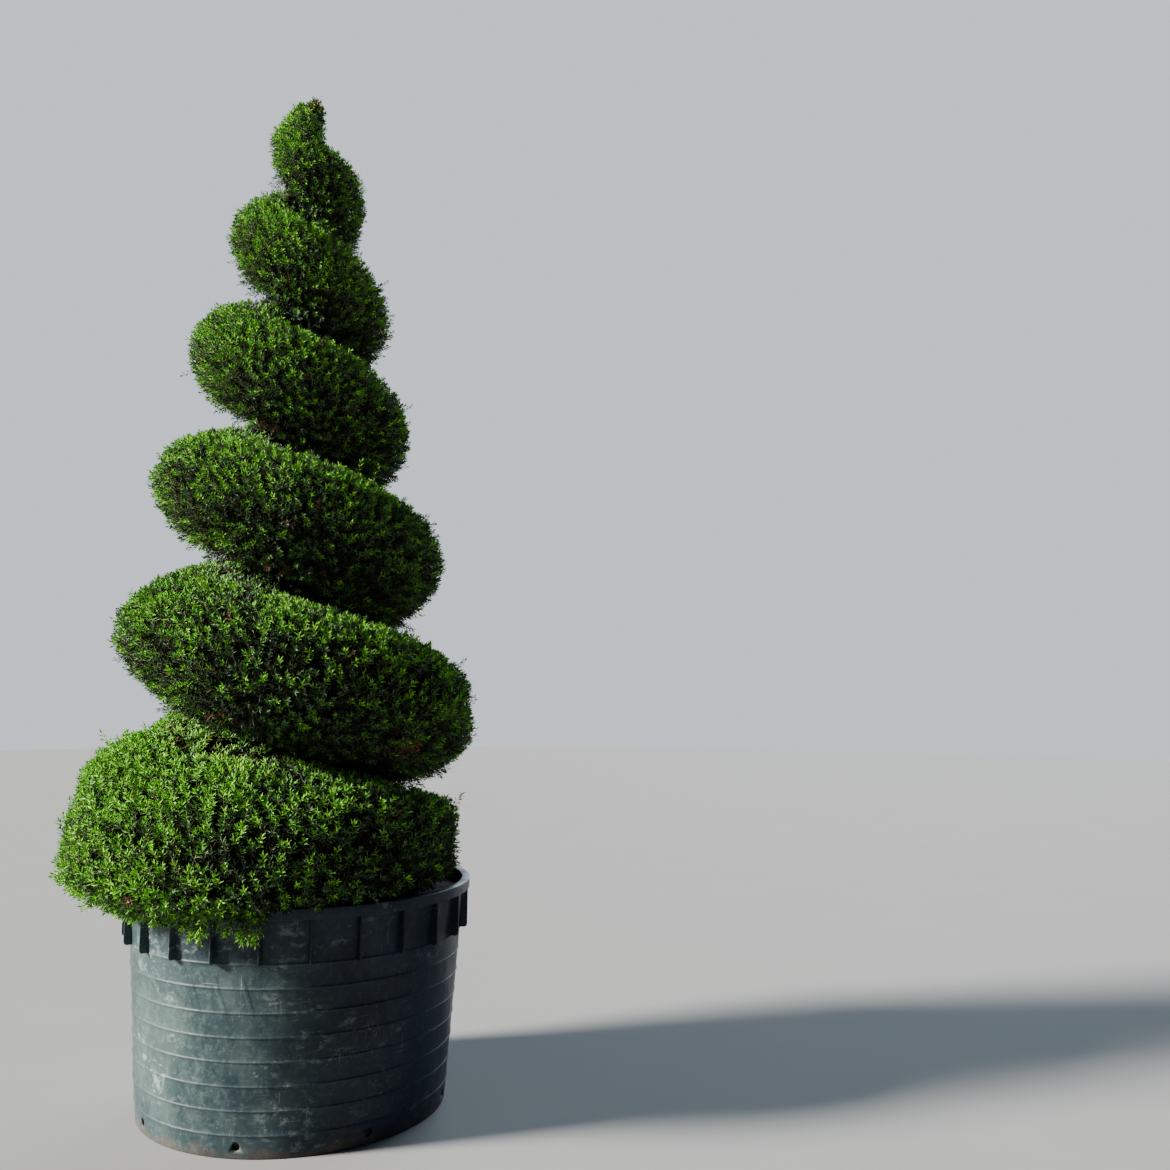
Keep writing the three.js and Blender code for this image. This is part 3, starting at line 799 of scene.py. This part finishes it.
def deal_places(mass, per_area, groove_share, random):
    """Turns and rises dealt evenly over the skin of a mass.

    In strips across the band, the area of each cell times how much grows there is added up, and a place is
    taken at each equal step of the sum, with a little random play. The grooves grow the groove share.
    """
    spacing = per_area ** -0.5
    span = mass.end - mass.start
    reach = REACH.start + REACH.per_turn * (mass.start + mass.end) / 2
    strips = int(span * FULL * reach / spacing)
    cells = 240
    turn = mass.start + span * (np.arange(strips)[:, None] + 0.5) / strips
    rise_edge = np.linspace(-1.53, 1.53, cells + 1)
    rise = (rise_edge[1:] + rise_edge[:-1]) / 2
    width = span / strips
    along = outline(turn + width / 2, rise) - outline(turn - width / 2, rise)
    across = outline(turn, rise_edge[1:]) - outline(turn, rise_edge[:-1])
    area = np.linalg.norm(np.cross(along, across), axis=-1)
    grows = groove_share + (1 - groove_share) * ease(np.cos(rise), 0.25, 0.62)
    total = np.concatenate([[0], np.cumsum((area * grows * per_area).ravel())])
    wanted = np.arange(int(total[-1])) + 0.5
    wanted += random.uniform(-0.42, 0.42, len(wanted))
    cell = np.clip(np.searchsorted(total, wanted) - 1, 0, len(total) - 2)
    share = (wanted - total[cell]) / np.maximum(total[cell + 1] - total[cell], 1e-9)
    at_turn = turn[cell // cells, 0] + width * random.uniform(-0.5, 0.5, len(cell))
    at_rise = rise_edge[cell % cells] + (rise_edge[1] - rise_edge[0]) * share
    return at_turn, at_rise


def spray_set(root, tip, turn, rise, outward, bare, sunk=0.0):
    """Sprays as arrays by name. A single number stands for every spray."""
    each = np.ones(len(root))
    values = dict(rise=rise * each, bare=bare * each, sunk=sunk * each)
    return dict(root=root, tip=tip, turn=turn, outward=outward, **values)


def grow_sprays(mass, random):
    """All sprays of a mass that keep to its space.

    Each ends at its place on the clipped outline, a little short or proud of it, and is rooted in the thicket
    a little lower down, so it leans up as it grows out. Past the step's line they end deeper.
    """
    turn, rise = deal_places(mass, mass.sprays, SPRAY.groove_share, random)
    here, outward = skin_frame(turn, rise)
    count, size = len(turn), mass.size
    short = np.minimum(random.exponential(SPRAY.short * size, count), SPRAY.shortest * size)
    proud = -SPRAY.trim - short
    proud += np.where(random.random(count) < STRAY.share, random.uniform(*STRAY.out, count), 0)
    proud += SPRAY.lumpy * lumps(here, 0.09, 31)
    ragged = ease(-rise, *RAGGED.rises) * (random.random(count) < RAGGED.share)
    proud += ragged * random.uniform(*RAGGED.out, count)
    cut = STEP_DEPTH * step_share(turn, rise)
    tip = here + outward * (proud - cut)[:, None]
    lean = random.normal(0, LEAN.root * size, (count, 3))
    root_turn = turn + random.normal(0, LEAN.turn, count)
    root = thicket_skin(root_turn, rise - LEAN.down - random.uniform(0, LEAN.more, count))
    root = root - outward * (SPRAY.sunk + cut)[:, None] + lean
    groups = [spray_set(root, tip, turn, rise, outward, NEEDLE.bare_share, -proud), missed_shoots(mass)]
    if mass.end == SPIRAL.end:
        groups += hang_fringe(random)
    sprays = {key: np.concatenate([group[key] for group in groups]) for key in groups[0]}
    keep = in_own_space(sprays["tip"], sprays["turn"], mass)
    return {key: value[keep] for key, value in sprays.items()}


def missed_shoots(mass):
    """The long shoots of a mass: each leaves the skin outward, pulled up or down."""
    rows = [row for row in MISSED_SHOOTS if mass.start < row[0] < mass.end]
    turn, rise, length, pull = np.array(rows).T
    here, outward = skin_frame(turn, rise)
    tip = here + unit(outward + pull[:, None] * UP) * length[:, None]
    return spray_set(here - outward * MISSED.sunk, tip, turn, rise, outward, MISSED.bare)


def hang_fringe(random):
    """Sprays that go straight from inside the lowest foliage over the lip's edge, to end in front of it.

    The long ones go on in a fan of three that hang nearly upright.
    """
    angle = random.uniform(FRINGE.start, FRINGE.end, FRINGE.count)
    reach = random.uniform(*FRINGE.reach, FRINGE.count)
    drop = random.uniform(*FRINGE.drop, FRINGE.count) * reach / FRINGE.reach[1]
    long_angle, long_drop = np.array(LONG_FRINGE).T
    angle = np.concatenate([angle, long_angle])
    reach = np.concatenate([reach, np.full(len(long_angle), 0.04)])
    drop = np.concatenate([drop, np.minimum(long_drop, 0.035)])
    lip, rim = LIP.radius, TUB.height

    def spray(root, tip, angle, bare):
        turn = 4 + angle % FULL / FULL + 0.5 - SPIRAL.offset
        return spray_set(root, tip, turn, 0.0, polar(angle, 1.0, 0.2), bare)

    start = polar(angle, lip - 0.03, rim + 0.055)
    end = polar(angle + random.normal(0, 0.02, len(angle)), lip + reach, rim - drop)
    fan, fan_drop = np.repeat(long_angle, 3), np.repeat(long_drop, 3)
    sway = fan + random.normal(0, 0.016, len(fan))
    lower = polar(sway, lip + 0.046, rim - fan_drop * random.uniform(0.72, 1.0, len(fan)))
    joint = np.repeat(end[-len(long_angle):], 3, axis=0)
    # The long fans' shorter bare base also gives them paler colours: painted light.
    return [spray(start, end, angle, 0.25), spray(joint, lower, fan, 0.2)]


def make_needles(sprays, mass, random):
    """Needles folded along the middle, shape (sprays, needles, 4, 3), and which of them keep to their space.

    They stand round the outer part of each shoot, each turned by the golden angle from the last, and close in
    on the shoot's own direction towards its tip.
    """
    root, tip = sprays["root"], sprays["tip"]
    count, each = len(root), NEEDLE.per_spray
    shoot = tip - root
    ahead, hint = unit(shoot), random.normal(0, 1, (count, 3))
    number = np.arange(each)
    share = (number + random.uniform(0.2, 0.8, (count, each))) / each
    bare = sprays["bare"][:, None]
    along = bare + (1 - bare) * share
    spin = random.uniform(0, FULL, (count, 1)) + number * GOLDEN_ANGLE
    spread = SPREAD.first - SPREAD.closing * share ** 1.2
    spread += random.normal(0, SPREAD.chance, (count, each))
    length = mass.size * NEEDLE.length * (0.72 + 0.4 * np.sin(pi * (0.15 + 0.75 * share)))
    length *= random.uniform(0.8, 1.2, (count, each))
    radial = around(ahead, hint, spin)
    way = unit(ahead[:, None] * np.cos(spread)[..., None] + radial * np.sin(spread)[..., None])
    flank = unit(np.cross(way, radial) + random.normal(0, 0.35, (count, each, 3)))
    flank = unit(flank - way * (flank * way).sum(-1, keepdims=True))
    face = np.cross(way, flank)
    base = root[:, None] + shoot[:, None] * along[..., None]
    half = flank * mass.size * NEEDLE.width / 2
    sunk = face * mass.size * NEEDLE.width * NEEDLE.fold
    middle = base + way * (0.5 * length)[..., None]
    end = base + way * length[..., None] - face * (0.06 * length)[..., None]
    needles = np.stack([base, middle + half + sunk, end, middle - half + sunk], 2)
    keep = in_own_space(needles[:, :, 2], sprays["turn"][:, None], mass)
    return needles, keep


def deal_tints(sprays, random):
    """The colour of each spray, by number.

    A score adds how fresh the growth is at that turn (with painted shade on the foot's front right), how far
    the spray faces up and left (painted light as well as fresher growth), patches, chance, and more for long
    shoots (painted light as well as young growth).
    It falls as painted shade in the grooves, on the step and where a spray ends deep (there also older
    growth). Equal steps of it are the colours from deep to lemon. Sprays in a dry patch are mostly dry.
    """
    spot, outward = sprays["tip"], sprays["outward"]
    # The freshness table also darkens the foot's front right: painted shade.
    fresh = np.interp(sprays["turn"], *FRESHNESS_AND_SHADE)
    # Sprays facing up and left, towards the key lamp, score higher: painted light as well as fresher growth.
    score = fresh + SCORE.start + SCORE.up * outward[:, 2] - SCORE.left * outward[:, 0]
    patches = SCORE.patches * lumps(spot, 0.16, 41) + SCORE.patches * lumps(spot, 0.06, 42)
    score += patches + random.normal(0, SCORE.chance, len(spot))
    grooves = SHADED.grooves * ease(np.abs(sprays["rise"]), 0.95, 1.4)
    score -= grooves + SHADED.step * step_share(sprays["turn"], sprays["rise"])
    sunk = np.maximum(0, sprays["sunk"] - SHADED.sunk_from)
    # Sprays with a short bare base, the long shoots and the long fringe fans, take paler colours: painted
    # light as well as young growth. Sprays that end deep take darker ones: painted shade as well as older
    # growth.
    score += SCORE.young * (sprays["bare"] < 0.24) - SHADED.sunk * sunk
    tint = np.clip((np.maximum(score, fresh - SHADED.limit) * DRY).astype(int), 0, DRY - 1)
    for turn, rise, size in DRY_PATCHES:
        away = np.linalg.norm(spot - outline(turn, rise), axis=-1)
        tint[(away < size) & (random.random(len(spot)) < DRY_SHARE.patch)] = DRY
    tint[random.random(len(spot)) < DRY_SHARE.stray] = DRY
    return tint


def make_foliage(mass, finishes, random):
    """All of one mass's sprays: its needles, joined by colour, and its shoots as three-sided points.

    The lowest needles of a spray, nearest its root, are two colours deeper than the rest: older growth and
    painted shade.
    """
    sprays = grow_sprays(mass, random)
    needles, keep = make_needles(sprays, mass, random)
    tint = deal_tints(sprays, random)[:, None]
    # Painted shade: the needles nearest each spray's root, deeper in, take darker colours, as older needles
    # also are.
    old = (np.arange(NEEDLE.per_spray) < NEEDLE.old) & (tint < DRY)
    aged_and_shaded = np.maximum(tint - 2 * old, 0)
    for number, (name, colour) in enumerate(TINTS):
        chosen = needles[(aged_and_shaded == number) & keep]
        first = np.arange(len(chosen))[:, None] * 4
        faces = np.concatenate([first + [0, 1, 2], first + [0, 2, 3]])
        piece = f"needles_{name}_{mass.node}"
        make_piece(piece, chosen, [faces], finishes[name], mass.node, smooth=False)
    root, tip = sprays["root"], sprays["tip"]
    ring = around(unit(tip - root), random.normal(0, 1, root.shape), spaced(3))
    points = np.concatenate([root[:, None] + SHOOT_RADIUS * ring, tip[:, None]], 1)
    first = np.arange(len(root))[:, None] * 4
    faces = np.concatenate([first + face for face in ([0, 1, 3], [1, 2, 3], [2, 0, 3], [0, 2, 1])])
    make_piece(f"shoots_{mass.node}", points, [faces], finishes["shoot"], mass.node)


def make_branches(mass, finish, random):
    """Branches of a mass, from the trunk to just under the outline.

    Each path is a straight line from the trunk to its end, bowed by a sine and shaken by chance that dies
    away at both ends. The radius falls by a power to the tip.
    """
    turn, rise = deal_places(mass, BRANCH.per_area, 1.6, random)
    count, steps = len(turn), BRANCH.steps
    end = outline(turn, rise, *BRANCH.short_by)
    angle = pi + FULL * (turn + SPIRAL.offset + random.normal(0, 0.03, count))
    bottom = np.maximum(groove_z(turn + 1), SOIL_TOP + 0.03)
    z = bottom + (np.minimum(groove_z(turn), TRUNK.tip) - bottom) * random.uniform(0.3, 0.7, count)
    start = polar(angle, 0.8 * trunk_radius(z), z, axis_x(z))
    share = np.linspace(0, 1, steps)[None, :, None]
    bow = np.sin(pi * share) * UP * random.uniform(-0.02, 0.05, (count, 1, 1))
    shake = random.normal(0, 0.007, (count, steps, 3)) * np.sin(pi * share) ** 0.5
    paths = start[:, None] + (end - start)[:, None] * share + bow + shake
    keep = in_own_space(end, turn, mass)
    down = (mass.start - SPIRAL.start) / (MASSES[-1].start - SPIRAL.start)
    radii = BRANCH.tip + (BRANCH.root * (0.5 + 0.5 * down) - BRANCH.tip) * (1 - share[..., 0]) ** 1.4
    radii = np.broadcast_to(radii, (count, steps))
    points, faces = tubes(paths[keep], radii[keep], BRANCH.sides)
    make_piece(f"branches_{mass.node}", points, faces, finish, mass.node)


def make_masses():
    """The thicket, branches and foliage of every mass, from the tip down."""
    finishes = {name: needle_finish(name, colour) for name, colour in TINTS}
    finishes["shoot"] = shoot_finish()
    thicket = painted_shade_thicket()
    twig_bark = flaking_bark("twig bark", 3.0)
    for number, mass in enumerate(MASSES):
        random = np.random.default_rng(700 + number)
        make_thicket(mass, thicket)
        make_branches(mass, twig_bark, random)
        make_foliage(mass, finishes, random)


def make_floor():
    """A wide pale disc under the tub."""
    points, faces = turned(np.array([[0, -0.02], [30, -0.02], [30, 0.0], [0, 0.0]]), 96)
    made = Finish("pale floor", Specular_IOR_Level=0.2, Roughness=0.9)
    pale = made.mix(made.noise(made.place(), 1.5, 4), (0.27, 0.27, 0.265), (0.295, 0.295, 0.29))
    floor = make_object("floor", points, faces, made.done(pale), smooth=False)


def make_lamp(name, energy, spread, colour, toward):
    """A far lamp in a direction, whose light comes from a disc that many degrees wide."""
    light = bpy.data.lights.new(name, "SUN")
    light.energy = energy
    light.angle = radians(spread)
    light.color = colour
    lamp = bpy.data.objects.new(name, light)
    lamp.rotation_euler = Vector(toward).to_track_quat("Z", "Y").to_euler()
    bpy.context.collection.objects.link(lamp)


def make_lights():
    """A key from the left and a little from the front, a weak wide light from behind, and an even fill.

    The camera sees a pale backdrop in place of the fill.
    """
    make_lamp("key", 15.5, 11, (1.0, 0.97, 0.9), (-0.87, -0.25, 0.43))
    make_lamp("back", 3.4, 50, (0.72, 0.86, 1.0), (0.28, 0.88, 0.38))
    world = bpy.data.worlds.new("studio")
    world.use_nodes = True
    nodes, links = world.node_tree.nodes, world.node_tree.links
    fill, backdrop = nodes["Background"], nodes.new("ShaderNodeBackground")
    either = nodes.new("ShaderNodeMixShader")
    links.new(nodes.new("ShaderNodeLightPath").outputs["Is Camera Ray"], either.inputs["Fac"])
    rows = ((fill, (0.52, 0.76, 1.0, 1), 0.09), (backdrop, (0.8, 0.86, 0.92, 1), 1.0))
    for slot, (shader, colour, strength) in enumerate(rows, 1):
        shader.inputs["Color"].default_value = colour
        shader.inputs["Strength"].default_value = strength
        links.new(shader.outputs["Background"], either.inputs[slot])
    links.new(either.outputs["Shader"], nodes["World Output"].inputs["Surface"])
    bpy.context.scene.world = world


def make_camera():
    """The photo's camera: it stands to the right of the tub at eye height and looks a little up."""
    pitch, roll = CAMERA.pitch, CAMERA.roll
    forward = Vector((0, cos(pitch), sin(pitch)))
    level_up = Vector((0, -sin(pitch), cos(pitch)))
    right = Vector((cos(roll), 0, 0)) + level_up * sin(roll)
    up = level_up * cos(roll) - Vector((sin(roll), 0, 0))
    camera = bpy.data.cameras.new("camera")
    camera.sensor_width = SENSOR_WIDTH
    camera.lens = CAMERA.focal * SENSOR_WIDTH / CAMERA.picture
    camera.sensor_fit = "HORIZONTAL"
    holder = bpy.data.objects.new("camera", camera)
    axes = Matrix((right, up, -forward)).transposed().to_4x4()
    holder.matrix_world = Matrix.Translation(CAMERA.place) @ axes
    bpy.context.collection.objects.link(holder)
    bpy.context.scene.camera = holder


plastic = tub_plastic()
make_tub(plastic)
make_gussets(plastic)
make_soil(growing_medium())
make_trunk(flaking_bark())
make_masses()
make_floor()
make_lights()
make_camera()
